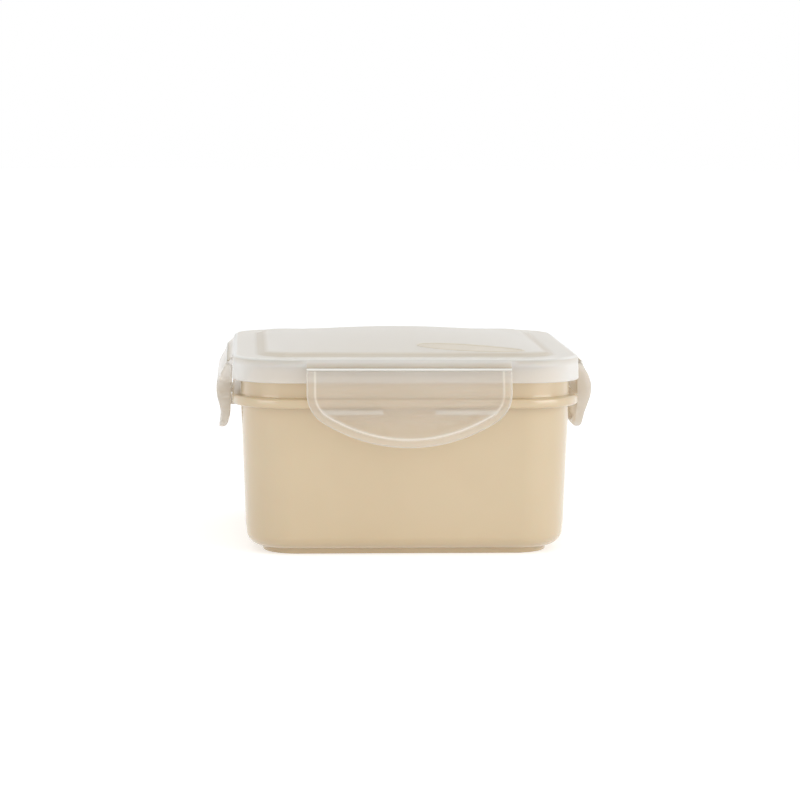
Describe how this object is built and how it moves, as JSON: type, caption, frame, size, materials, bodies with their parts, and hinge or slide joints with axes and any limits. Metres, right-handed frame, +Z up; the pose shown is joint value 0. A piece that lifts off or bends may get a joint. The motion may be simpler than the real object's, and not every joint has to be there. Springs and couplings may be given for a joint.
{
  "type": "square snap-lid storage box",
  "caption": "Square food and milk storage box with a rimmed cream tub, a frosted lid with a seal, and hinged flaps that hook under the rim on every side.",
  "frame": {"origin": "under the middle of the foot ring, on the surface the box stands on", "axes": "+Z up, the front flap faces -Y, +X is to the right seen from the front"},
  "size_m": [0.1638, 0.1638, 0.0921],
  "materials": {
    "cream_plastic": "smooth moulded polypropylene, satin",
    "clear_frosted_plastic": "frosted translucent polypropylene",
    "silicone": "soft white silicone"
  },
  "bodies": {
    "box": {"box_body": "cream_plastic"},
    "lid": {"lid": "clear_frosted_plastic", "seal_ring": "silicone", "hinge_front": "clear_frosted_plastic", "hinge_back": "clear_frosted_plastic", "hinge_left": "clear_frosted_plastic", "hinge_right": "clear_frosted_plastic"},
    "flap_front": {"flap_front": "clear_frosted_plastic", "catch_front": "clear_frosted_plastic"},
    "flap_back": {"flap_back": "clear_frosted_plastic", "catch_back": "clear_frosted_plastic"},
    "flap_left": {"flap_left": "clear_frosted_plastic", "catch_left": "clear_frosted_plastic"},
    "flap_right": {"flap_right": "clear_frosted_plastic", "catch_right": "clear_frosted_plastic"}
  },
  "joints": [
    {"name": "lid_lift", "type": "slide", "parent": "box", "child": "lid", "axis": [0, 0, 1], "range_m": [0, 0.06], "deforming": ["catch_front", "catch_back", "catch_left", "catch_right"]},
    {"name": "flap_front_hinge", "type": "hinge", "parent": "lid", "child": "flap_front", "pos_m": [0, -0.0774, 0.0813], "axis": [-1, 0, 0], "range_deg": [0, 130]},
    {"name": "flap_back_hinge", "type": "hinge", "parent": "lid", "child": "flap_back", "pos_m": [0, 0.0774, 0.0813], "axis": [1, 0, 0], "range_deg": [0, 130]},
    {"name": "flap_left_hinge", "type": "hinge", "parent": "lid", "child": "flap_left", "pos_m": [-0.0774, 0, 0.0813], "axis": [0, 1, 0], "range_deg": [0, 130]},
    {"name": "flap_right_hinge", "type": "hinge", "parent": "lid", "child": "flap_right", "pos_m": [0.0774, 0, 0.0813], "axis": [0, -1, 0], "range_deg": [0, 130]}
  ]
}
